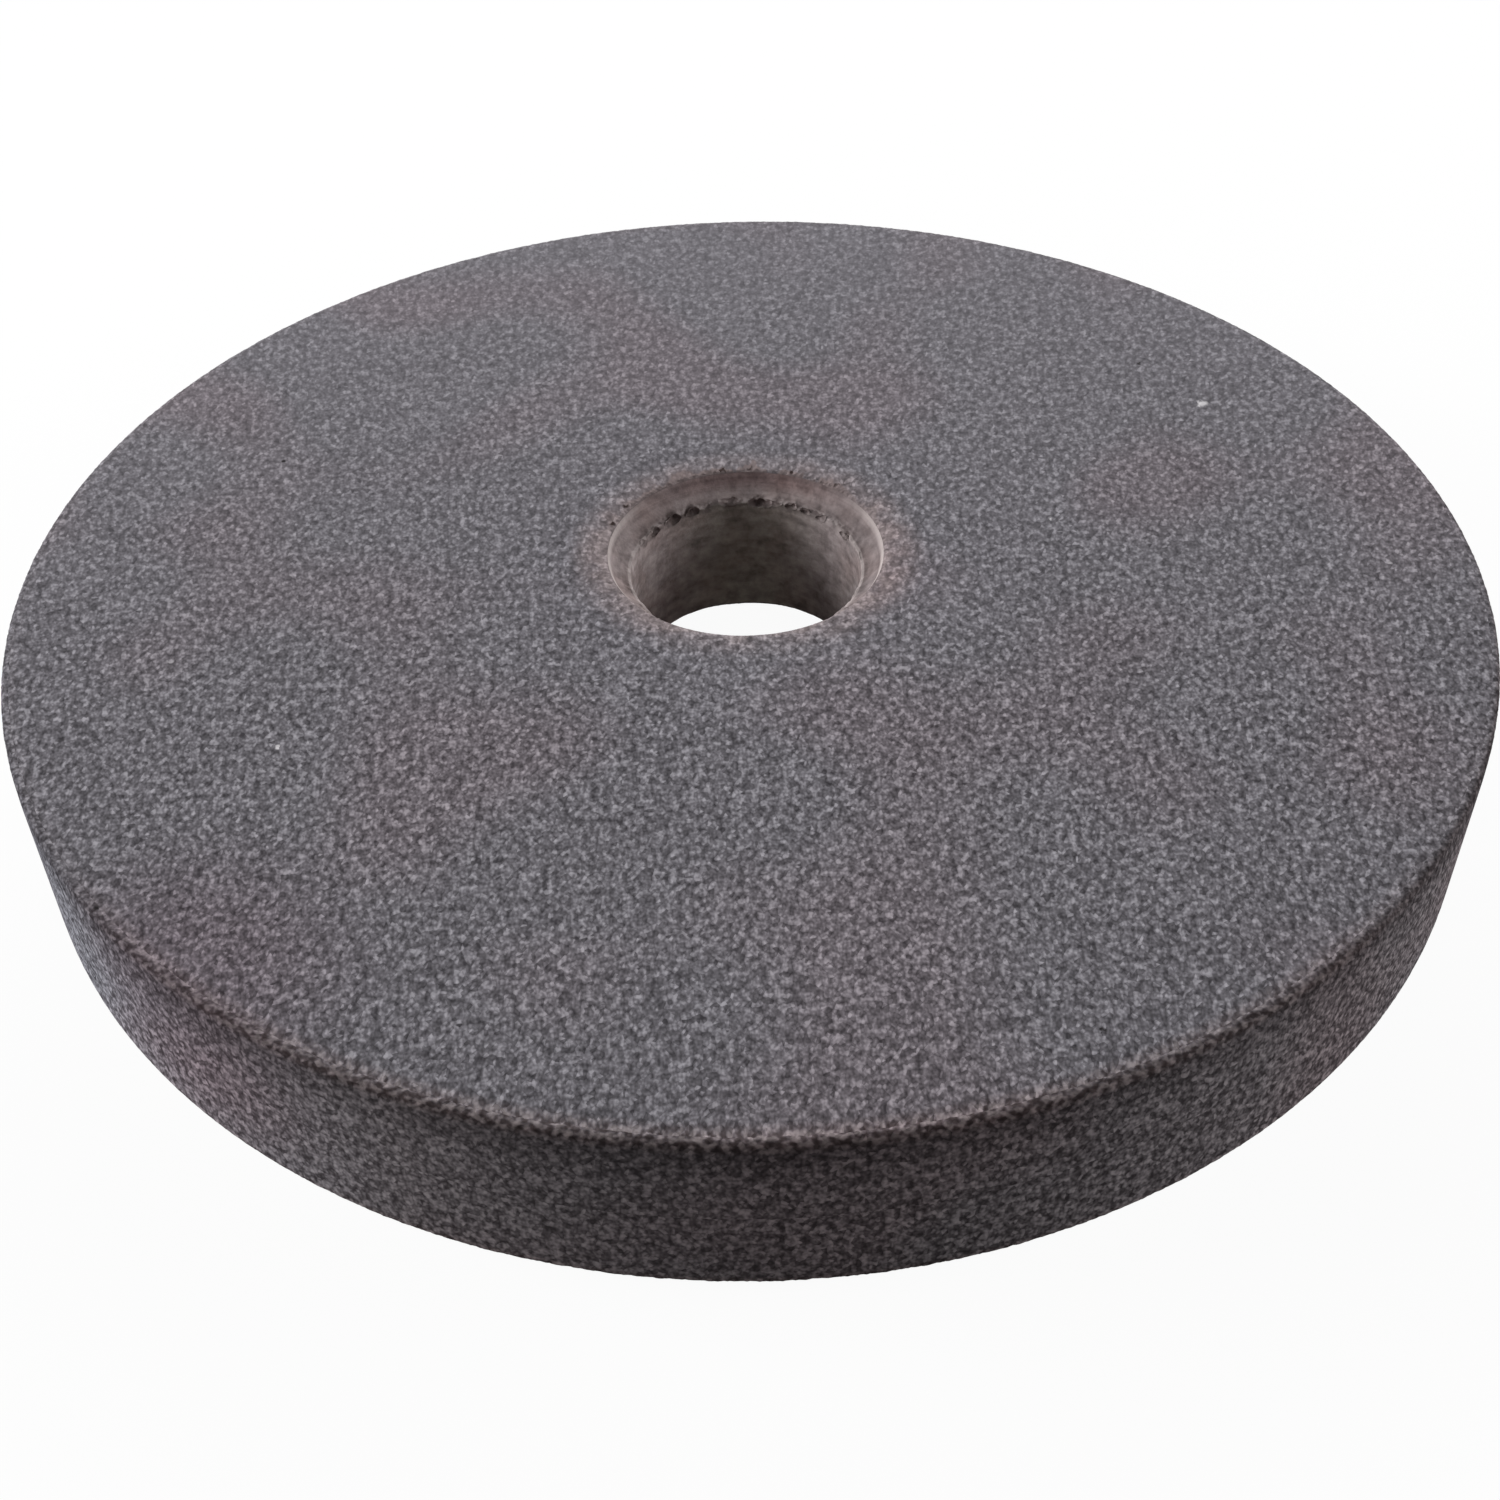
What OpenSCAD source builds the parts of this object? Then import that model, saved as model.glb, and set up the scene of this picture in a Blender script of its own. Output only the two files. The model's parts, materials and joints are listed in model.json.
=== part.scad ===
// Straight bench grinding wheel with a lining cast into its arbor hole.
// The wheel lies flat: the origin is on the bore axis at the lower side face, +Z runs along the axis.

/* [Wheel] */
// Outer diameter of the wheel
wheel_d = 200; // [120:1:250]
// Thickness between the two side faces
wheel_t = 25; // [16:1:40]
// Rounding of the broken edge between a side face and the rim
rim_round = 1.2; // [0.4:0.1:3]
// Rounding of the edge between a side face and the raw hole
hole_round = 0.5; // [0.2:0.1:1.2]

/* [Arbor bore] */
// Diameter of the finished bore
bore_d = 32; // [12:0.5:50]
// Thickness of the cast lining around the bore
lining_wall = 3.2; // [2.6:0.1:6]

/* [Lining ends] */
// Depth of the lining's outer edge below a side face
lining_drop = 0.8; // [0.4:0.1:1.6]
// Width of the flat left on that outer edge
edge_land = 0.3; // [0.2:0.1:0.6]
// Depth of the bore's lip below a side face
lip_depth = 3; // [1.6:0.1:3.4]

/* [Chipped lip] */
// Scale of the bites that are missing from the upper lip
chip_scale = 1; // [0.5:0.1:1.5]
// Angle by which the row of bites is turned around the bore
chip_turn = 0; // [-30:1:30]

/* [Hidden] */

wheel_r = wheel_d / 2;
bore_r = bore_d / 2;
hole_r = bore_r + lining_wall;
lip_z = wheel_t - lip_depth;

// The dish is an arc that falls from the flat edge and runs level into the lip
dish_w = lining_wall - edge_land;
dish_h = lip_depth - lining_drop;
dish_r = (dish_w * dish_w + dish_h * dish_h) / (2 * dish_h);

grit_grey = [0.40, 0.39, 0.41];
cement_brown = [0.46, 0.41, 0.40];

round_fn = 180;
edge_fn = 32;

// Bites along the lip, by eye: angle from +X, radius, height of the middle above the lip
lip_chips = [
    [28, 1.0, 0.2],
    [47, 0.9, 0.3],
    [57, 1.2, -0.3],
    [66, 1.0, 0.1],
    [74, 0.9, -0.1],
    [82, 1.5, -0.5],
    [97, 1.3, 0.1],
    [110, 1.1, 0.4],
    [119, 1.4, -0.4],
    [130, 1.6, -0.2],
    [144, 1.3, -0.5],
    [156, 1.0, 0.2]
];

// Half section of a flat ring, with its inner and outer corners rounded
module ring_section(r_in, r_out, height, round_in, round_out) {
    translate([r_in + round_in, 0])
        square([r_out - r_in - round_in - round_out, height]);
    translate([r_in, round_in])
        square([round_in, height - 2 * round_in]);
    translate([r_out - round_out, round_out])
        square([round_out, height - 2 * round_out]);
    for (z = [round_in, height - round_in])
        translate([r_in + round_in, z])
            circle(r = round_in, $fn = edge_fn);
    for (z = [round_out, height - round_out])
        translate([r_out - round_out, z])
            circle(r = round_out, $fn = edge_fn);
}

// Half section of the lining: straight bore, straight back, both ends dished
module lining_section() {
    difference() {
        translate([bore_r, lining_drop])
            square([lining_wall, wheel_t - 2 * lining_drop]);
        for (z = [lip_depth - dish_r, lip_z + dish_r])
            translate([bore_r, z])
                circle(r = dish_r, $fn = edge_fn);
    }
}

// One bite out of the upper lip: a ball centred on the bore's wall, its poles along the radius
module lip_chip(angle, radius, rise) {
    rotate([0, 0, angle + chip_turn])
        translate([bore_r, 0, lip_z + rise])
            rotate([0, 90, 0])
                sphere(r = radius * chip_scale, $fn = edge_fn);
}

// Pressed and fired grain: disc, faces, rim and raw hole in one piece
module abrasive_wheel() {
    color(grit_grey)
        rotate_extrude($fn = round_fn)
            ring_section(hole_r, wheel_r, wheel_t, hole_round, rim_round);
}

// Cement cast between the raw hole and the bore
module bore_lining() {
    color(cement_brown)
        difference() {
            rotate_extrude($fn = round_fn)
                lining_section();
            for (chip = lip_chips)
                lip_chip(chip[0], chip[1], chip[2]);
        }
}

abrasive_wheel();
bore_lining();
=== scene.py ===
# bench grinding wheel: fired grain disc with a cast lining in its arbor hole
import bpy
import json
import math
from mathutils import Matrix, Vector


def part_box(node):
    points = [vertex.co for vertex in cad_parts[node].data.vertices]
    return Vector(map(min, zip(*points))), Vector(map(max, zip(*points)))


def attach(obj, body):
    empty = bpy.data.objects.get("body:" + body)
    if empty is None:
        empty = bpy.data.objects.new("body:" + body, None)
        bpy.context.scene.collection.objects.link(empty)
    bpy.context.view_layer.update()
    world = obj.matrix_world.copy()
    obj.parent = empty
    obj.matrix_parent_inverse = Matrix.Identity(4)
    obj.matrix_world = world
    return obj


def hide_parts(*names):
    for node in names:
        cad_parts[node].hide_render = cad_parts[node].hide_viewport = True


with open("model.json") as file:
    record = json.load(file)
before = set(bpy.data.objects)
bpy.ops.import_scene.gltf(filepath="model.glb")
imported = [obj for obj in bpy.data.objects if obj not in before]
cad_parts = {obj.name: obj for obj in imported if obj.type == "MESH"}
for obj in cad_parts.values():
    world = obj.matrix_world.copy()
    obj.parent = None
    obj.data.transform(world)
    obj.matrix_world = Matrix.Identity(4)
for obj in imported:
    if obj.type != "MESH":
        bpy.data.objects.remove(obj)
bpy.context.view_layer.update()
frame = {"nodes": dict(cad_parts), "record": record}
scene = bpy.context.scene
print("frame loaded:", ", ".join(sorted(frame["nodes"])))

mm = 0.001  # all settings below are in metres, written as so many mm

# sizes that come from the frame
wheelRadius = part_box("abrasive_wheel")[1].x
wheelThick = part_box("abrasive_wheel")[1].z
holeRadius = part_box("bore_lining")[1].x
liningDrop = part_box("bore_lining")[0].z
arborMount = next(m for m in frame["record"]["mounts"] if m["name"] == "arbor_bore")
boreRadius = arborMount["dims"]["r_mm"] * mm
lipDepth = (wheelThick - arborMount["dims"]["length_mm"] * mm) / 2


# camera, where the photograph was taken from
photoCamera = {
    "lens": 45.0,
    "sensor": 36.0,
    "fromFaceCentre": 261.37 * mm,
    "elevation": 35.962,
    "lookDown": 40.453,
    "lookAside": -0.602,
    "roll": -1.527,
    "shift": (0.0111, -0.0369),
}


def placeCamera(s):
    up, aside, down = (math.radians(s[k]) for k in ("elevation", "lookAside", "lookDown"))
    eye = Vector((0, -math.cos(up), math.sin(up))) * s["fromFaceCentre"]
    eye.z += wheelThick
    ahead = Vector((math.sin(aside) * math.cos(down), math.cos(aside) * math.cos(down), -math.sin(down)))
    right = Vector((math.cos(aside), -math.sin(aside), 0))
    upward = right.cross(ahead)
    axes = Matrix((right, upward, -ahead)).transposed()
    turn = Matrix.Rotation(math.radians(s["roll"]), 3, "Z")
    bpy.ops.object.camera_add(location=eye, rotation=(axes @ turn).to_euler())
    camera = bpy.context.object
    camera.name = "photoCamera"
    camera.data.sensor_width = s["sensor"]
    camera.data.lens = s["lens"]
    camera.data.shift_x, camera.data.shift_y = s["shift"]
    camera.data.clip_start = 5 * mm
    camera.data.clip_end = 20
    scene.camera = camera


placeCamera(photoCamera)
print("camera placed")


# modelling helpers
def letGo():
    bpy.ops.object.select_all(action="DESELECT")


def arc(centre, radius, start, end, steps):
    # (radius, height) points along an arc, the start left out
    points = []
    for i in range(1, steps + 1):
        a = math.radians(start + (end - start) * i / steps)
        points.append((centre[0] + radius * math.cos(a), centre[1] + radius * math.sin(a)))
    return points


def evenRun(start, end, steps):
    return [tuple(Vector(start).lerp(Vector(end), i / steps)) for i in range(1, steps + 1)]


def spinSection(name, points, segments, sectors=30):
    # one vertex pulled along the (radius, height) points of a section and spun through one
    # sector, which an array then repeats round the axis
    letGo()
    bpy.ops.mesh.primitive_plane_add(size=mm)
    piece = bpy.context.object
    piece.name = piece.data.name = name
    bpy.ops.object.mode_set(mode="EDIT")
    bpy.ops.mesh.select_mode(type="VERT")
    bpy.ops.mesh.merge(type="CENTER")
    r, z = points[0]
    bpy.ops.transform.translate(value=(r, 0, z))
    for nextR, nextZ in points[1:] + points[:1]:
        bpy.ops.mesh.extrude_region_move(TRANSFORM_OT_translate={"value": (nextR - r, 0, nextZ - z)})
        r, z = nextR, nextZ
    sector = 2 * math.pi / sectors
    bpy.ops.mesh.select_all(action="SELECT")
    bpy.ops.mesh.spin(steps=segments // sectors, angle=sector, center=(0, 0, 0), axis=(0, 0, 1))
    bpy.ops.object.mode_set(mode="OBJECT")

    bpy.ops.object.empty_add(rotation=(0, 0, sector))
    turn = bpy.context.object
    ring = piece.modifiers.new("ring", "ARRAY")
    ring.count = sectors
    ring.use_relative_offset = False
    ring.use_object_offset = True
    ring.offset_object = turn
    bpy.context.view_layer.objects.active = piece
    bpy.ops.object.modifier_apply(modifier=ring.name)
    bpy.data.objects.remove(turn)
    letGo()
    piece.select_set(True)
    bpy.ops.object.mode_set(mode="EDIT")
    bpy.ops.mesh.select_all(action="SELECT")
    bpy.ops.mesh.remove_doubles(threshold=0.002 * mm)
    bpy.ops.mesh.normals_make_consistent(inside=False)
    bpy.ops.object.mode_set(mode="OBJECT")
    return piece


def weigh(piece, name, weight):
    group = piece.vertex_groups.new(name=name)
    for v in piece.data.vertices:
        group.add([v.index], weight(v.co), "REPLACE")


def roughen(piece, group, kind, size, depth, level, way="NORMAL", **extra):
    # pushes the surface in and out by a texture; level 1 only ever takes material away
    texture = bpy.data.textures.new(f"{piece.name}_{group}_{kind.lower()}", kind)
    texture.noise_scale = size
    for key, value in extra.items():
        setattr(texture, key, value)
    push = piece.modifiers.new("roughen", "DISPLACE")
    push.texture = texture
    push.texture_coords = "LOCAL"
    push.vertex_group = group
    push.strength = depth
    push.mid_level = level
    push.direction = way
    bpy.context.view_layer.objects.active = piece
    bpy.ops.object.modifier_apply(modifier=push.name)


def fade(value, near, far):
    # 1 at near, 0 at far and beyond
    return min(1.0, max(0.0, (far - value) / (far - near)))


# material helpers
def newMaterial(name):
    material = bpy.data.materials.new(name)
    material.use_nodes = True
    tree = material.node_tree
    tree.nodes.clear()
    output = tree.nodes.new("ShaderNodeOutputMaterial")
    shader = tree.nodes.new("ShaderNodeBsdfPrincipled")
    tree.links.new(shader.outputs["BSDF"], output.inputs["Surface"])
    return material, tree, shader


def node(tree, kind, inputs=(), **settings):
    made = tree.nodes.new("ShaderNode" + kind)
    for key, value in settings.items():
        setattr(made, key, value)
    for key, value in dict(inputs).items():
        if isinstance(value, bpy.types.NodeSocket):
            tree.links.new(value, made.inputs[key])
        else:
            made.inputs[key].default_value = value
    return made


def maths(tree, operation, *values, clamp=False):
    return node(tree, "Math", enumerate(values), operation=operation, use_clamp=clamp).outputs[0]


def vectorMaths(tree, operation, *values):
    return node(tree, "VectorMath", enumerate(values), operation=operation)


def noise(tree, where, scale, detail=2.0, roughness=0.5, distortion=0.0, size="3D"):
    return node(tree, "TexNoise", {"Vector": where, "Scale": scale, "Detail": detail, "Roughness": roughness,
                                   "Distortion": distortion}, noise_dimensions=size).outputs["Fac"]


def cells(tree, where, scale, **settings):
    return node(tree, "TexVoronoi", {"Vector": where, "Scale": scale}, **settings)


def spread(tree, value, low, high, toLow=0.0, toHigh=1.0, smooth=False):
    kind = "SMOOTHSTEP" if smooth else "LINEAR"
    return node(tree, "MapRange", {"Value": value, "From Min": low, "From Max": high,
                                   "To Min": toLow, "To Max": toHigh}, interpolation_type=kind).outputs["Result"]


def blendColour(tree, amount, first, second, kind="MIX"):
    mixed = node(tree, "Mix", data_type="RGBA", blend_type=kind)
    for socket, value in ((mixed.inputs[0], amount), (mixed.inputs[6], first), (mixed.inputs[7], second)):
        if isinstance(value, bpy.types.NodeSocket):
            tree.links.new(value, socket)
        elif isinstance(value, tuple):
            socket.default_value = (*value, 1)
        else:
            socket.default_value = value
    return mixed.outputs[2]


def ramp(tree, value, stops):
    made = node(tree, "ValToRGB", {"Fac": value})
    band = made.color_ramp
    while len(band.elements) < len(stops):
        band.elements.new(0.5)
    for element, (place, colour) in zip(band.elements, stops):
        element.position = place
        element.color = (*colour, 1)
    return made.outputs["Color"]


# the wheel
wheelLook = {
    "segments": 1800,
    "rimRound": 1.2 * mm,
    "holeRound": 0.5 * mm,
    "arcSteps": 7,
    "bandWidth": 2.0 * mm,
    "bandSteps": 5,
    "crumbleSize": 0.62 * mm,
    "crumbleDepth": 0.42 * mm,
    "dentSize": 5 * mm,
    "dentDepth": 0.20 * mm,
    "lowerEdge": 0.45,
}


def wheelSection(s):
    top, outer, inner = wheelThick, wheelRadius, holeRadius
    r, h, band = s["rimRound"], s["holeRound"], s["bandWidth"]
    points = [(inner, h), (inner, top / 2), (inner, top - h)]
    points += arc((inner + h, top - h), h, 180, 90, 4)
    points += evenRun((inner + h, top), (inner + h + band, top), s["bandSteps"])
    points += evenRun((inner + h + band, top), (outer - r - band, top), 4)
    points += evenRun((outer - r - band, top), (outer - r, top), s["bandSteps"])
    points += arc((outer - r, top - r), r, 90, 0, s["arcSteps"])
    points += evenRun((outer, top - r), (outer, top - r - band), s["bandSteps"])
    points += evenRun((outer, top - r - band), (outer, r + band), 3)
    points += evenRun((outer, r + band), (outer, r), 3)
    points += arc((outer - r, r), r, 0, -90, s["arcSteps"])
    points += evenRun((outer - r, 0), (outer - r - band, 0), 2)
    points += evenRun((outer - r - band, 0), (inner + h, 0), 3)
    points += arc((inner + h, h), h, 270, 180, 4)[:-1]
    return points


def edgeWeight(co):
    # full on the rounded edges, fading out over a band beside them, less on the lower side
    s = wheelLook
    across = math.hypot(co.x, co.y)
    fromFace = min(co.z, wheelThick - co.z)
    fromRim = max(wheelRadius - across, fromFace)
    fromHole = max(across - holeRadius, fromFace)
    onHole = fade(fromHole, s["holeRound"], s["holeRound"] + s["bandWidth"])
    onHole *= 0.6 * fade(holeRadius - across, -0.15 * mm, 0)
    onRim = fade(fromRim, s["rimRound"], s["rimRound"] + s["bandWidth"])
    weight = max(onRim * (0.30 + 0.55 * fade(co.y, -97 * mm, -75 * mm)), onHole)
    return weight if co.z > wheelThick / 2 else weight * s["lowerEdge"]


gritLook = {
    "grainSize": 0.49 * mm,
    "waveSize": 0.80 * mm,
    "fineSize": 0.34 * mm,
    "facetTilt": 0.3,
    "stainWidth": 6.5 * mm,
}

# odd grains, and pits darkened with painted shade, seen on the upper face: colour, radius in mm, places in mm
grainsAndPitShade = [
    ((0.66, 0.64, 0.66), 1.00, [(70.1, 34.7)]),
    ((0.60, 0.58, 0.60), 0.45, [(43.0, 5.2), (-58.1, -39.8)]),
    ((0.38, 0.36, 0.38), 0.45, [(-75.1, -22.8), (87.4, -6.7)]),
    ((0.030, 0.027, 0.028), 0.50, [(36.1, -86.3), (-73.9, -66.3), (-68.4, 24.1), (62.5, 47.1)]),
    ((0.050, 0.036, 0.034), 0.60, [(13.2, 15.0), (6.9, 18.6), (0.9, 19.9), (-3.1, 19.6), (-16.8, 10.6), (-18.9, 6.4)]),
]


def gritMaterial(s):
    material, tree, shader = newMaterial("firedGrit")
    here = node(tree, "TexCoord").outputs["Object"]
    flat = vectorMaths(tree, "MULTIPLY", here, (1, 1, 0)).outputs["Vector"]
    across = vectorMaths(tree, "LENGTH", flat).outputs["Value"]
    aside, along, height = node(tree, "SeparateXYZ", {0: here}).outputs
    # the pressing left the grain coarser towards one side, and a little drawn out
    wide = maths(tree, "MULTIPLY", aside, spread(tree, along, -100 * mm, 100 * mm, 1.10, 0.74))
    deep = maths(tree, "MULTIPLY", along, maths(tree, "MULTIPLY_ADD", along, -0.96, 0.64))
    seenFlat = node(tree, "CombineXYZ", {0: wide, 1: deep, 2: 0.0}).outputs[0]
    # on the rim and its rounded edges it lies unrolled, with the seam at the back
    level = maths(tree, "SUBTRACT", height, wheelThick / 2)
    turned = maths(tree, "ARCTAN2", aside, maths(tree, "MULTIPLY", along, -1.0))
    overEdge = maths(tree, "SUBTRACT", height, maths(tree, "MULTIPLY", maths(tree, "SIGN", level), across))
    alongRim = maths(tree, "MULTIPLY_ADD", turned, 0.72 * wheelRadius, maths(tree, "MULTIPLY", aside, 0.18))
    downRim = maths(tree, "MULTIPLY_ADD", overEdge, 0.70, maths(tree, "MULTIPLY", along, 0.40))
    unrolled = node(tree, "CombineXYZ", {0: alongRim, 1: downRim, 2: 0.0}).outputs[0]
    pastEdge = maths(tree, "GREATER_THAN", across, wheelRadius - wheelLook["rimRound"])
    laid = node(tree, "Mix", {0: pastEdge, 4: seenFlat, 5: unrolled}, data_type="VECTOR").outputs[1]
    onRim = spread(tree, across, wheelRadius - 1.0 * mm, wheelRadius - 0.3 * mm)
    fromFaces = maths(tree, "SUBTRACT", wheelThick / 2, maths(tree, "ABSOLUTE", level))

    # each grain has its own shade and facet, with dark gaps between
    grain = cells(tree, laid, 1 / s["grainSize"], voronoi_dimensions="2D")
    own = node(tree, "SeparateColor", {"Color": grain.outputs["Color"]})
    waves = noise(tree, laid, 1 / s["waveSize"], detail=0.0, size="2D")
    fine = noise(tree, laid, 1 / s["fineSize"], detail=0.0, size="2D")
    shade = maths(tree, "MULTIPLY_ADD", own.outputs[0], 0.40, maths(tree, "MULTIPLY", waves, 0.57))
    shade = maths(tree, "MULTIPLY_ADD", fine, 0.40, shade)
    shade = maths(tree, "MULTIPLY_ADD", grain.outputs["Distance"], -0.22, shade)
    shade = maths(tree, "SUBTRACT", shade, 0.082)
    face = ramp(tree, shade, [(0.10, (0.045, 0.042, 0.047)), (0.38, (0.108, 0.102, 0.112)),
                              (0.58, (0.178, 0.169, 0.187)), (0.92, (0.400, 0.385, 0.418))])
    rim = ramp(tree, shade, [(0.16, (0.070, 0.059, 0.063)), (0.40, (0.148, 0.130, 0.137)),
                             (0.58, (0.265, 0.236, 0.249)), (0.90, (0.540, 0.484, 0.504))])
    # painted shade: the rim darker towards the upper face, and lighter towards the lower
    rimHeightShade = ramp(tree, maths(tree, "DIVIDE", height, wheelThick), [(0.0, (1.0, 1.0, 1.0)), (0.5, (0.93, 0.93, 0.93)),
                                                                  (0.72, (0.86, 0.86, 0.86)), (0.97, (0.46, 0.445, 0.445))])
    rim = blendColour(tree, 1.0, rim, rimHeightShade, "MULTIPLY")
    # painted shade darkens the rim to the right; painted sheen makes it lighter and cooler to the left
    rim = blendColour(tree, spread(tree, aside, 25 * mm, 95 * mm), rim, (0.86, 0.86, 0.86), "MULTIPLY")
    rim = blendColour(tree, spread(tree, aside, -38 * mm, -82 * mm), rim, (1.02, 1.14, 1.22), "MULTIPLY")
    # painted sheen: face and rim blended towards a flat light grey, lower in contrast, towards the back
    backSheen = spread(tree, along, -40 * mm, 85 * mm, 0.05, 0.48)
    grit = blendColour(tree, onRim, face, rim)
    grit = blendColour(tree, backSheen, grit, (0.212, 0.203, 0.222))

    # broad faint clouds, and the brown stain that the lining left round the hole
    cloud = noise(tree, here, 36.0, detail=0.0)
    grit = blendColour(tree, spread(tree, cloud, 0.50, 0.72, 0.0, 0.8), grit, (1.06, 0.98, 0.98), "MULTIPLY")
    blot = noise(tree, here, 300.0, detail=0.0)
    stain = spread(tree, across, holeRadius + s["stainWidth"], holeRadius, smooth=True)
    aside = maths(tree, "ABSOLUTE", maths(tree, "DIVIDE", aside, across))
    stain = maths(tree, "MULTIPLY", stain, spread(tree, aside, 0, 1, 0.6, 1.3))
    stain = maths(tree, "MULTIPLY", stain, spread(tree, blot, 0.38, 0.60, 0.6, 1.0), clamp=True)
    grit = blendColour(tree, stain, grit, (1.44, 1.28, 1.21), "MULTIPLY")
    grit = blendColour(tree, maths(tree, "MULTIPLY", stain, 0.18), grit, (0.205, 0.170, 0.165))
    # cement smeared over the hole's edge up to a ragged line, stronger and darker on the far side with painted shade
    stray = maths(tree, "ADD", maths(tree, "MULTIPLY_ADD", blot, 4.0 * mm, -2.0 * mm), maths(tree, "MULTIPLY", waves, 1.6 * mm))
    offEdge = maths(tree, "SUBTRACT", across, maths(tree, "ADD", stray, holeRadius))
    smear = spread(tree, offEdge, 0.45 * mm, 0.10 * mm)
    behind = spread(tree, along, 4 * mm, 14 * mm)
    smearAndShade = blendColour(tree, behind, (0.33, 0.28, 0.275), (0.215, 0.170, 0.165))
    grit = blendColour(tree, maths(tree, "MULTIPLY", smear, spread(tree, behind, 0, 1, 0.25, 0.7)), grit, smearAndShade)

    # a brown patch on one side, over face and rim
    reach = vectorMaths(tree, "DISTANCE", here, (-62 * mm, -76 * mm, 20 * mm)).outputs["Value"]
    patch = spread(tree, reach, 26 * mm, 6 * mm, smooth=True)
    grit = blendColour(tree, patch, grit, (0.95, 0.86, 0.88), "MULTIPLY")

    # warm grains along the broken edge
    rounding = spread(tree, across, wheelRadius - 2.8 * mm, wheelRadius - 1.3 * mm)
    rounding = maths(tree, "MULTIPLY", rounding, spread(tree, fromFaces, 1.9 * mm, 0.6 * mm))
    rounding = maths(tree, "MULTIPLY", rounding, spread(tree, along, -60 * mm, -95 * mm, 0.1, 1.0))
    grit = blendColour(tree, rounding, grit, (1.12, 1.03, 1.00), "MULTIPLY")
    pale = maths(tree, "MULTIPLY", rounding, spread(tree, waves, 0.52, 0.62))
    grit = blendColour(tree, maths(tree, "MULTIPLY", pale, 0.30), grit, (0.42, 0.365, 0.355))
    brown = maths(tree, "MULTIPLY", rounding, spread(tree, waves, 0.47, 0.38))
    grit = blendColour(tree, maths(tree, "MULTIPLY", brown, 0.45), grit, (0.060, 0.042, 0.039))

    # odd grains, and painted shade in pits
    ragged = vectorMaths(tree, "SCALE", vectorMaths(tree, "SUBTRACT", grain.outputs["Color"], (0.5, 0.5, 0.5)).outputs["Vector"])
    ragged.inputs["Scale"].default_value = 0.5 * mm
    ragged = vectorMaths(tree, "ADD", here, ragged.outputs["Vector"]).outputs["Vector"]
    for speckShade, radius, places in grainsAndPitShade:
        nearest = 1.0
        for x, y in places:
            reach = vectorMaths(tree, "DISTANCE", ragged, (x * mm, y * mm, wheelThick)).outputs["Value"]
            nearest = maths(tree, "MINIMUM", nearest, reach)
        grit = blendColour(tree, spread(tree, nearest, radius * mm, radius * 0.5 * mm), grit, speckShade)

    shader.inputs["Specular IOR Level"].default_value = 0.0
    tree.links.new(spread(tree, own.outputs[2], 0, 1, 0.82, 0.98), shader.inputs["Roughness"])
    tree.links.new(grit, shader.inputs["Base Color"])
    lean = vectorMaths(tree, "SUBTRACT", grain.outputs["Color"], (0.5, 0.5, 0.5)).outputs["Vector"]
    tilt = spread(tree, onRim, 0, 1, s["facetTilt"], 0.25 * s["facetTilt"])
    lean = node(tree, "VectorMath", {0: lean, "Scale": tilt}, operation="SCALE").outputs["Vector"]
    facet = vectorMaths(tree, "ADD", node(tree, "NewGeometry").outputs["Normal"], lean).outputs["Vector"]
    facet = vectorMaths(tree, "NORMALIZE", facet).outputs["Vector"]
    tree.links.new(facet, shader.inputs["Normal"])
    return material


def buildWheel():
    s = wheelLook
    wheel = spinSection("gritWheel", wheelSection(s), s["segments"])
    weigh(wheel, "edges", edgeWeight)
    roughen(wheel, "edges", "CLOUDS", s["dentSize"], s["dentDepth"], 1.0)
    roughen(wheel, "edges", "VORONOI", s["crumbleSize"], s["crumbleDepth"], 1.0)
    letGo()
    wheel.select_set(True)
    bpy.context.view_layer.objects.active = wheel
    bpy.ops.object.shade_smooth_by_angle(angle=math.radians(50))
    wheel.data.materials.append(gritMaterial(gritLook))
    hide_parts("abrasive_wheel")
    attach(wheel, "root")
    print("wheel built:", len(wheel.data.polygons), "faces")
    return wheel


# the cast lining
liningLook = {
    "segments": 630,
    "edgeLand": 0.3 * mm,
    "edgeFillet": 0.4 * mm,
    "lipRound": 0.4 * mm,
    "finest": 0.16 * mm,
    "fineWall": 3.2 * mm,
    "dishSteps": 18,
    # bites along the upper lip: angle, radius in mm, height of the middle above the lip in mm
    "chips": [(28, 0.8, -0.7), (47, 0.6, -0.2), (57, 0.6, -0.4), (66, 0.7, -0.3), (74, 0.7, -0.2), (82, 1.3, -0.35),
              (97, 1.2, 0.0), (110, 0.7, 0.1), (119, 0.85, -0.6), (130, 1.2, -0.55), (144, 0.85, -0.8), (156, 0.6, -0.1)],
    "biteShape": (0.8, 1.35, 0.7),
    "biteGrain": 0.16 * mm,
    "biteRough": 1.3 * mm,
    "biteDepth": 1.1 * mm,
    "nickSize": 0.9 * mm,
    "nickDepth": 0.30 * mm,
    "swellSize": 2.6 * mm,
    "swellDepth": 0.9 * mm,
}


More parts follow.
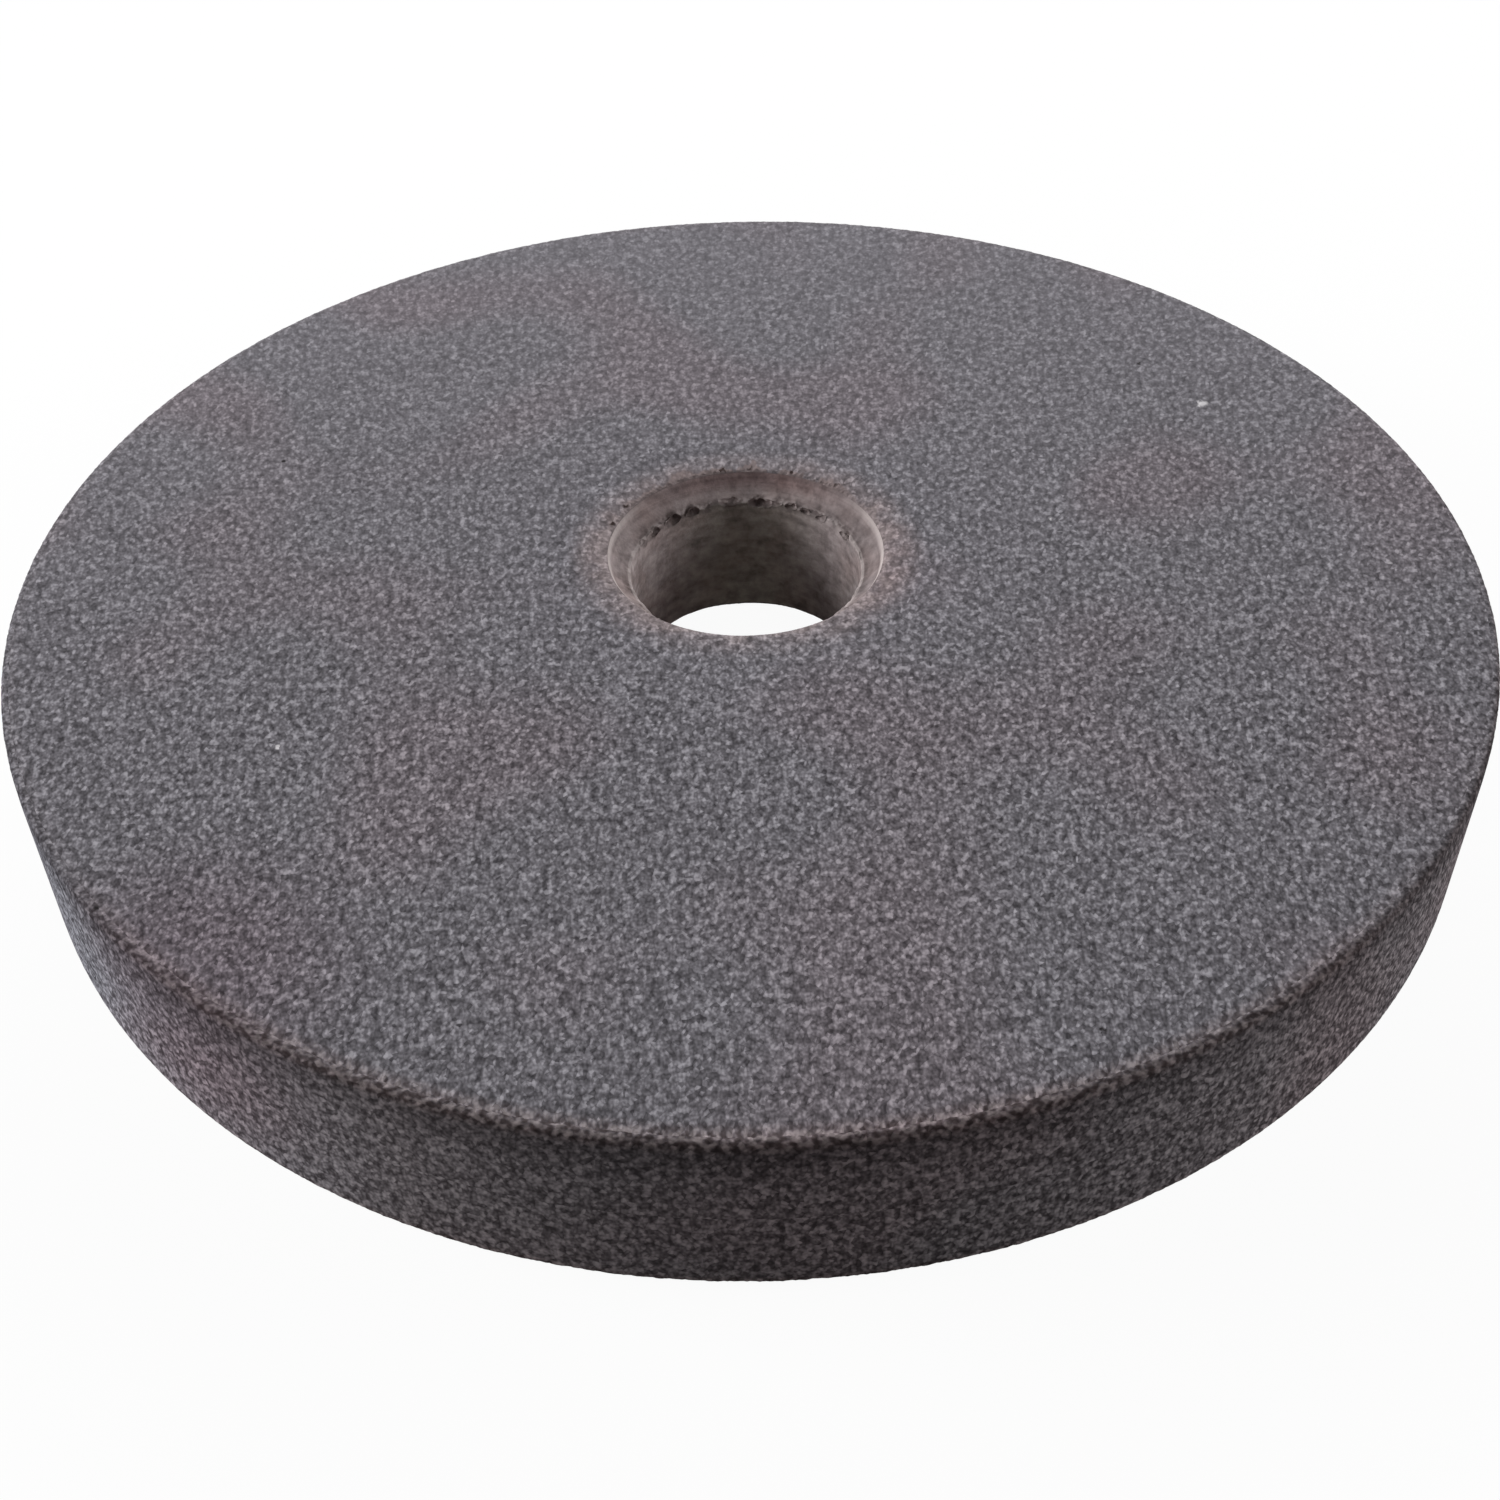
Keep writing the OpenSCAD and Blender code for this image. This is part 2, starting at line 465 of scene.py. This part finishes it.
def liningSection(s):
    dishWide = holeRadius - boreRadius - s["edgeLand"]
    dishDeep = lipDepth - liningDrop
    dishRadius = (dishWide ** 2 + dishDeep ** 2) / (2 * dishDeep)
    reach = math.degrees(math.asin(dishWide / dishRadius))
    low, high, lip = lipDepth, wheelThick - lipDepth, s["lipRound"]
    skip = math.degrees(math.asin(lip / dishRadius))
    fineFrom = high - s["fineWall"]
    points = [(boreRadius, low)] + evenRun((boreRadius, low), (boreRadius, fineFrom), 26)
    points += evenRun((boreRadius, fineFrom), (boreRadius, high - lip), round(s["fineWall"] / s["finest"]))
    points += arc((boreRadius + lip, high - lip), lip, 180, 90, 5)
    points += arc((boreRadius, high + dishRadius), dishRadius, -90 + skip, -90 + reach, s["dishSteps"])
    points += [(holeRadius, wheelThick - liningDrop + s["edgeFillet"]), (holeRadius, liningDrop)]
    points += [(boreRadius + dishWide, liningDrop)]
    points += arc((boreRadius, low - dishRadius), dishRadius, 90 - reach, 90, s["dishSteps"] - 6)[:-1]
    return points


def lipWeight(co):
    # full at the upper lip, little on the dish and the wall, none on the back
    across = math.hypot(co.x, co.y)
    away = math.hypot(across - boreRadius, co.z - (wheelThick - lipDepth))
    return fade(across, holeRadius - 0.6 * mm, holeRadius - 0.1 * mm) * max(fade(away, 0.3 * mm, 2.0 * mm), 0.18)


def biteLip(piece, s):
    # balls set along the lip, fused, roughened and cut away together
    letGo()
    balls = []
    for angle, radius, rise in s["chips"]:
        a = math.radians(angle)
        bpy.ops.mesh.primitive_ico_sphere_add(
            subdivisions=3, radius=radius * mm,
            location=(boreRadius * math.cos(a), boreRadius * math.sin(a), wheelThick - lipDepth + rise * mm))
        bpy.context.object.rotation_euler.z = a
        bpy.context.object.scale = s["biteShape"]
        balls.append(bpy.context.object)
    for ball in balls:
        ball.select_set(True)
    bpy.ops.object.join()
    cutter = bpy.context.object
    bpy.ops.object.transform_apply(location=True, rotation=True, scale=True)
    weigh(cutter, "all", lambda co: 1)
    roughen(cutter, "all", "CLOUDS", s["biteRough"], s["biteDepth"], 0.55, noise_depth=2)
    fuse = cutter.modifiers.new("fuse", "REMESH")
    fuse.mode = "VOXEL"
    fuse.voxel_size = s["biteGrain"]
    bpy.ops.object.modifier_apply(modifier=fuse.name)
    bite = piece.modifiers.new("bite", "BOOLEAN")
    bite.operation = "DIFFERENCE"
    bite.solver = "EXACT"
    bite.object = cutter
    bpy.context.view_layer.objects.active = piece
    bpy.ops.object.modifier_apply(modifier=bite.name)
    bpy.data.objects.remove(cutter)


def markChips(piece, s):
    # how deep in a bite each vertex lies, for the material
    centres = []
    for angle, radius, rise in s["chips"]:
        a = math.radians(angle)
        centres.append((Vector((boreRadius * math.cos(a), boreRadius * math.sin(a),
                                wheelThick - lipDepth + rise * mm)), radius * mm))
    marks = piece.data.attributes.new("chipped", "FLOAT", "POINT")
    for v in piece.data.vertices:
        marks.data[v.index].value = max(fade((v.co - c).length, r, r * 1.15) for c, r in centres)


def cementMaterial():
    material, tree, shader = newMaterial("castCement")
    here = node(tree, "TexCoord").outputs["Object"]
    parts = node(tree, "SeparateXYZ", {0: here})
    flat = vectorMaths(tree, "MULTIPLY", here, (1, 1, 0)).outputs["Vector"]
    across = vectorMaths(tree, "LENGTH", flat).outputs["Value"]
    sideways = maths(tree, "ABSOLUTE", maths(tree, "DIVIDE", parts.outputs[0], across))
    chipped = node(tree, "Attribute", attribute_name="chipped").outputs["Fac"]
    lipLevel = wheelThick - lipDepth

    # swirls left by the trowel on the dish, runs down the wall, blotches everywhere
    rings = node(tree, "CombineXYZ", {0: across, 1: parts.outputs[2], 2: 0.0}).outputs[0]
    slow = vectorMaths(tree, "MULTIPLY", here, (0.06, 0.06, 0.06)).outputs["Vector"]
    swirl = noise(tree, vectorMaths(tree, "ADD", rings, slow).outputs["Vector"], 800.0, detail=2.0, distortion=0.8)
    runs = noise(tree, vectorMaths(tree, "MULTIPLY", here, (0.45, 0.45, 1.4)).outputs["Vector"], 700.0, detail=3.0)
    blot = noise(tree, here, 480.0, detail=4.0, roughness=0.65)
    broad = noise(tree, here, 130.0, detail=2.0)
    bite = noise(tree, here, 620.0, detail=2.0, roughness=0.6)

    onDish = spread(tree, across, boreRadius + 0.15 * mm, boreRadius + 0.5 * mm)
    marks = node(tree, "Mix", {0: onDish, 2: runs, 3: swirl}).outputs[0]
    shade = maths(tree, "MULTIPLY_ADD", marks, 0.35, maths(tree, "MULTIPLY", blot, 0.65))
    cement = ramp(tree, shade, [(0.34, (0.190, 0.158, 0.156)), (0.50, (0.335, 0.283, 0.281)),
                                (0.68, (0.500, 0.430, 0.427))])
    # the dish is browner towards the face and has painted shade at its sides; the wall has painted light towards the
    # bottom of the bore and is greyer in the middle
    outward = spread(tree, across, boreRadius + 1.2 * mm, holeRadius - 0.2 * mm, smooth=True)
    farSide = maths(tree, "MULTIPLY", outward, spread(tree, sideways, 0.9, 0.3))
    cement = blendColour(tree, farSide, cement, (0.84, 0.74, 0.74), "MULTIPLY")
    dishSideShade = maths(tree, "MULTIPLY", onDish, spread(tree, sideways, 0.4, 0.95))
    cement = blendColour(tree, dishSideShade, cement, (0.72, 0.71, 0.71), "MULTIPLY")
    down = spread(tree, parts.outputs[2], lipLevel, lipDepth)
    wallLight = maths(tree, "MULTIPLY", maths(tree, "SUBTRACT", 1.0, onDish), down)
    cement = blendColour(tree, wallLight, cement, (1.14, 1.16, 1.14), "MULTIPLY")
    greyer = maths(tree, "MULTIPLY", maths(tree, "SUBTRACT", 1.0, onDish), spread(tree, sideways, 0.75, 0.2))
    cement = blendColour(tree, greyer, cement, (0.90, 0.98, 0.90), "MULTIPLY")
    patch = spread(tree, broad, 0.42, 0.62)
    cement = blendColour(tree, maths(tree, "MULTIPLY", patch, 0.45), cement, (0.80, 0.70, 0.66), "MULTIPLY")
    # painted shade: the bore darker towards the right
    rightShade = spread(tree, parts.outputs[0], 4 * mm, boreRadius)
    cement = blendColour(tree, rightShade, cement, (0.83, 0.84, 0.85), "MULTIPLY")
    # ragged lip: a painted highlight along a ridge that wanders up and down, with patchy painted shade under it
    offLip = maths(tree, "SUBTRACT", parts.outputs[2], lipLevel - 0.35 * mm)
    offLip = maths(tree, "ADD", offLip, maths(tree, "MULTIPLY", maths(tree, "SUBTRACT", bite, 0.5), 3.2 * mm))
    underShade = maths(tree, "MULTIPLY", spread(tree, offLip, -0.1 * mm, -0.35 * mm), spread(tree, offLip, -1.3 * mm, -0.8 * mm))
    underShade = maths(tree, "MULTIPLY", underShade, spread(tree, parts.outputs[2], lipLevel - 2.4 * mm, lipLevel - 1.6 * mm))
    underShade = maths(tree, "MULTIPLY", underShade, spread(tree, broad, 0.40, 0.55, 0.25, 1.0))
    cement = blendColour(tree, maths(tree, "MULTIPLY", underShade, 0.6), cement, (0.105, 0.085, 0.083))
    ridgeHighlight = spread(tree, maths(tree, "ABSOLUTE", maths(tree, "SUBTRACT", offLip, 0.12 * mm)), 0.32 * mm, 0.1 * mm)
    ridgeHighlight = maths(tree, "MULTIPLY", ridgeHighlight, spread(tree, across, boreRadius + 1.1 * mm, boreRadius + 0.6 * mm))
    ridgeHighlight = maths(tree, "MULTIPLY", ridgeHighlight, spread(tree, sideways, 0.95, 0.80))
    cement = blendColour(tree, maths(tree, "MULTIPLY", ridgeHighlight, 0.55), cement, (0.50, 0.44, 0.435))
    # painted highlights at the sides: a thin line at the outer edge, and another at the lip
    edgeHighlight = maths(tree, "MULTIPLY", spread(tree, across, holeRadius - 0.55 * mm, holeRadius - 0.25 * mm),
                 spread(tree, sideways, 0.75, 0.95))
    cement = blendColour(tree, maths(tree, "MULTIPLY", edgeHighlight, 0.7), cement, (0.54, 0.475, 0.465))
    inner = maths(tree, "MULTIPLY", spread(tree, maths(tree, "ABSOLUTE", maths(tree, "SUBTRACT", across, boreRadius + 0.35 * mm)),
                                           0.3 * mm, 0.12 * mm), spread(tree, sideways, 0.7, 0.9))
    cement = blendColour(tree, maths(tree, "MULTIPLY", inner, 0.55), cement, (0.50, 0.44, 0.43))
    # painted shade in the bites, over their broken surfaces
    biteShade = maths(tree, "MULTIPLY", chipped, spread(tree, blot, 0.64, 0.48), clamp=True)
    cement = blendColour(tree, maths(tree, "MULTIPLY", biteShade, 0.75), cement, (0.085, 0.064, 0.060))

    shader.inputs["Specular IOR Level"].default_value = 0.08
    tree.links.new(spread(tree, blot, 0.35, 0.65, 0.95, 0.78), shader.inputs["Roughness"])
    tree.links.new(cement, shader.inputs["Base Color"])
    height = maths(tree, "MULTIPLY_ADD", marks, 0.6, blot)
    bump = node(tree, "Bump", {"Strength": 0.7, "Distance": 0.35 * mm, "Height": height})
    tree.links.new(bump.outputs["Normal"], shader.inputs["Normal"])
    return material


def buildLining():
    s = liningLook
    lining = spinSection("castLining", liningSection(s), s["segments"])
    biteLip(lining, s)
    weigh(lining, "lip", lipWeight)
    roughen(lining, "lip", "CLOUDS", s["swellSize"], s["swellDepth"], 1.0, way="Z")
    roughen(lining, "lip", "CLOUDS", s["nickSize"], s["nickDepth"], 1.0, noise_depth=2)
    markChips(lining, s)
    letGo()
    lining.select_set(True)
    bpy.context.view_layer.objects.active = lining
    bpy.ops.object.shade_smooth_by_angle(angle=math.radians(40))
    lining.data.materials.append(cementMaterial())
    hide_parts("bore_lining")
    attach(lining, "root")
    print("lining built:", len(lining.data.polygons), "faces")
    return lining


wheel = buildWheel()
lining = buildLining()


# floor, backdrop and lamps
studio = {
    "floorSize": 24.0,
    "floorGap": 0.05 * mm,  # keeps the floor clear of the lower face
    "floorPale": 0.92,    # as the camera sees it
    "floorBounce": 0.40,  # as it lights the wheel from below
    "shadowShare": 0.05,
    "shadowReach": (0.16, 0.40),  # from the axis: full up to here, gone from here on
    "roomLight": 0.09,
    "lamps": [
        # name, place, width, height, watts
        ("behind", (0.0, 1.1, 0.5), 1.2, 0.5, 14.3),
        ("left", (-1.1, 0.1, 0.40), 0.6, 0.6, 14.4),
        ("right", (1.1, 0.1, 0.40), 0.6, 0.6, 8.4),
    ],
}


def whiteToLens(tree):
    # 1 where the camera, a reflection or a view through glass looks
    path = node(tree, "LightPath")
    seen = maths(tree, "ADD", path.outputs["Is Camera Ray"], path.outputs["Is Glossy Ray"], clamp=True)
    return maths(tree, "ADD", seen, path.outputs["Is Transmission Ray"], clamp=True)


def buildStudio(s):
    letGo()
    bpy.ops.mesh.primitive_plane_add(size=s["floorSize"], location=(0, 0, -s["floorGap"]))
    floor = bpy.context.object
    floor.name = "studioFloor"
    material = bpy.data.materials.new("paleFloor")
    material.use_nodes = True
    tree = material.node_tree
    tree.nodes.clear()
    seen = whiteToLens(tree)
    paint = node(tree, "BsdfDiffuse", {"Color": spread(tree, seen, 0, 1, s["floorBounce"], s["floorPale"])})
    glow = node(tree, "Emission", {"Strength": 1.0})
    fromAxis = vectorMaths(tree, "LENGTH", node(tree, "TexCoord").outputs["Object"]).outputs["Value"]
    glowing = spread(tree, fromAxis, *s["shadowReach"], 1 - s["shadowShare"], 1.0, smooth=True)
    share = maths(tree, "MULTIPLY", seen, glowing)
    mixed = node(tree, "MixShader", {0: share, 1: paint.outputs[0], 2: glow.outputs[0]})
    node(tree, "OutputMaterial", {"Surface": mixed.outputs[0]})
    floor.data.materials.append(material)

    room = bpy.data.worlds.new("studioRoom")
    scene.world = room
    room.use_nodes = True
    tree = room.node_tree
    tree.nodes.clear()
    dim = node(tree, "Background", {"Color": (1, 1, 1, 1), "Strength": s["roomLight"]})
    white = node(tree, "Background", {"Color": (1, 1, 1, 1), "Strength": 1.0})
    mixed = node(tree, "MixShader", {0: whiteToLens(tree), 1: dim.outputs[0], 2: white.outputs[0]})
    node(tree, "OutputWorld", {"Surface": mixed.outputs[0]})

    for name, place, width, height, watts in s["lamps"]:
        aim = (Vector((0, 0, wheelThick / 2)) - Vector(place)).to_track_quat("-Z", "Y").to_euler()
        bpy.ops.object.light_add(type="AREA", location=place, rotation=aim)
        lamp = bpy.context.object
        lamp.name = name
        lamp.data.shape = "RECTANGLE"
        lamp.data.size, lamp.data.size_y = width, height
        lamp.data.energy = watts


buildStudio(studio)
scene.view_settings.view_transform = "Standard"
print("studio built")
